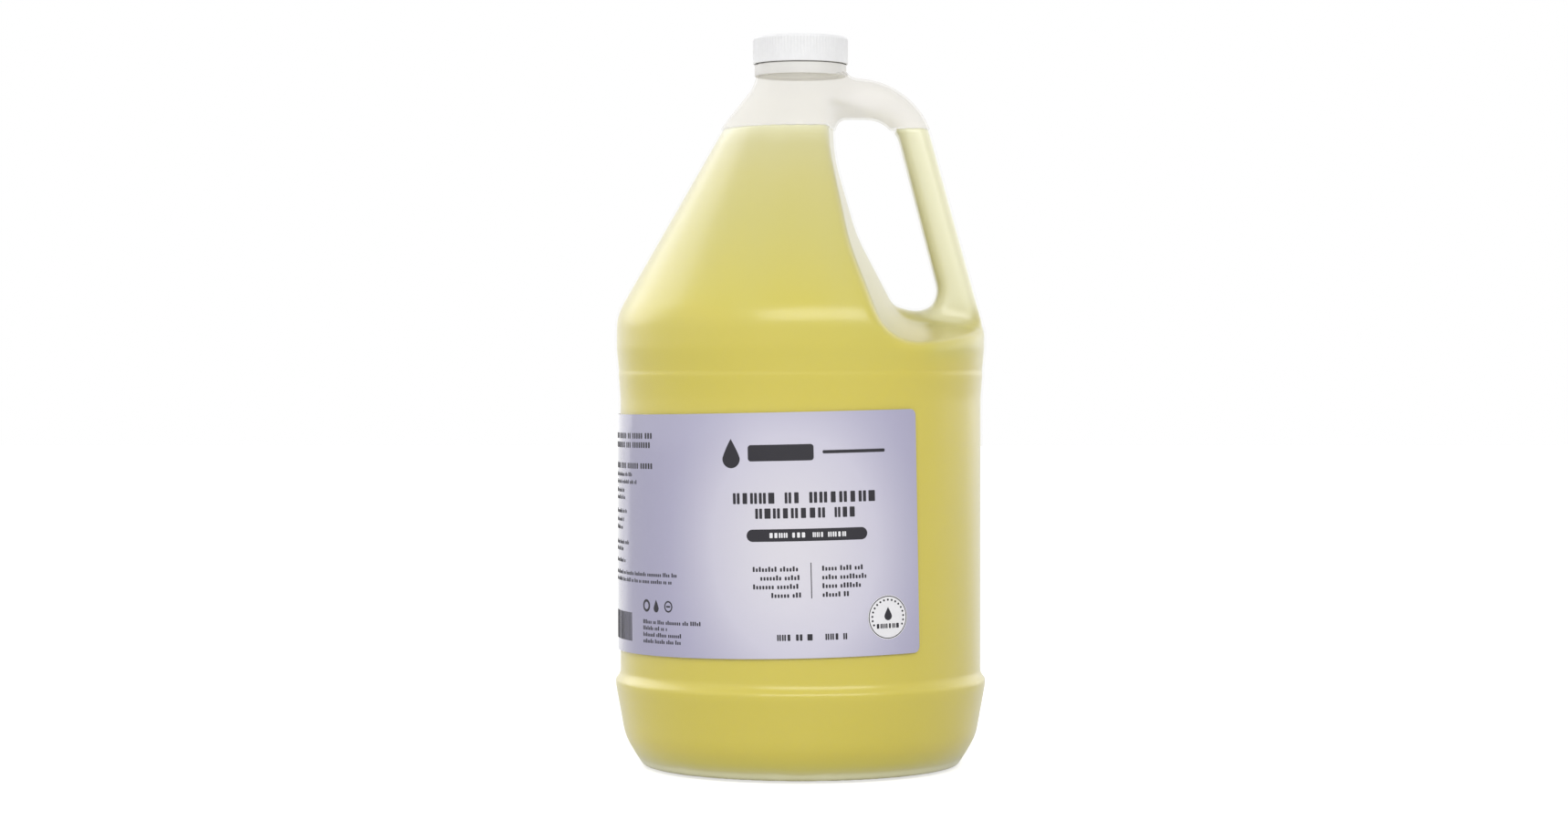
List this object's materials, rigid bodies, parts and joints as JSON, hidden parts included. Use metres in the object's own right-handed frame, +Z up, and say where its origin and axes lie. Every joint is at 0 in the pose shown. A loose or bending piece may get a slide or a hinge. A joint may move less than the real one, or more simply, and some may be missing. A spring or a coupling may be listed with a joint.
{
  "type": "gallon jug of massage oil",
  "caption": "Round translucent plastic gallon jug with a moulded-in handle, white ribbed screw cap and wrap label, filled with yellow massage oil.",
  "frame": {"origin": "centre of the foot ring, on the surface the jug stands on", "axes": "+Z up along the axis of the mouth; +X towards the handle; -Y towards the middle of the label's front panel"},
  "size_m": [0.1544, 0.1544, 0.3004],
  "materials": {
    "natural_hdpe": "satin translucent milky",
    "massage_oil": "clear yellow liquid",
    "label_film": "satin printed film",
    "cap_white": "satin",
    "liner_foam": "matt foam"
  },
  "bodies": {
    "jug_body": {"jug": "natural_hdpe", "oil": "massage_oil", "label": "label_film"},
    "liner_body": {"cap_liner": "liner_foam"},
    "cap_body": {"cap": "cap_white"}
  },
  "joints": [
    {"name": "cap_lift", "type": "slide", "parent": "jug_body", "child": "liner_body", "axis": [0, 0, 1], "range_m": [0, 0.01271]},
    {"name": "cap_turn", "type": "hinge", "parent": "liner_body", "child": "cap_body", "pos_m": [0, 0, 0.2983], "axis": [0, 0, 1], "range_deg": [0, 1080]}
  ],
  "couplings": [
    {"joint": "cap_lift", "follows": "cap_turn", "m_per_rad": 0.00067376}
  ]
}
